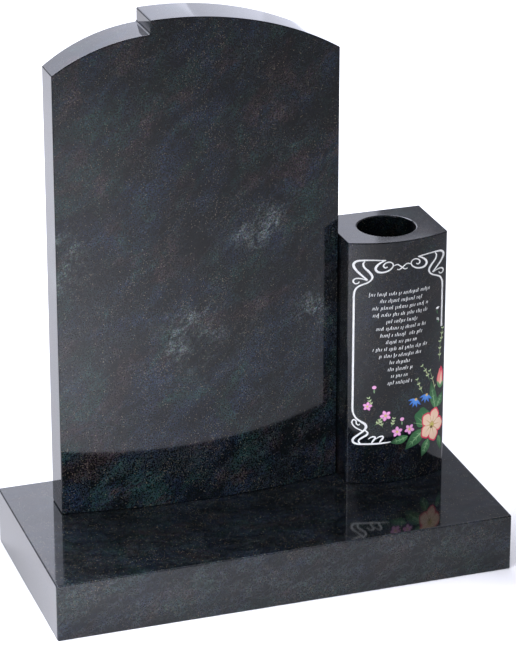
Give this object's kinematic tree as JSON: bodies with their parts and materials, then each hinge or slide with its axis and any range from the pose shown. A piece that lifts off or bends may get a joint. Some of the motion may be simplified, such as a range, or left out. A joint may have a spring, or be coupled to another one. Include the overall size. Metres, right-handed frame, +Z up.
{
  "type": "headstone",
  "caption": "Lawn memorial: bow-fronted headstone with a stepped arched top, beside a shorter bow-fronted vase pillar with a bored flower well, on a rectangular base.",
  "frame": {"origin": "middle of the base's underside, on the ground", "axes": "+X to the viewer's right along the base, -Y towards the viewer who faces the bowed fronts, +Z up"},
  "size_m": [0.635, 0.305, 0.7683],
  "materials": {
    "base_granite": "polished dark granite",
    "headstone_granite": "polished dark granite",
    "pillar_granite": "polished dark granite, with white painted carving and a painted flower picture"
  },
  "bodies": {
    "root": {"base": "base_granite", "headstone": "headstone_granite", "vase_pillar": "pillar_granite"}
  },
  "joints": []
}
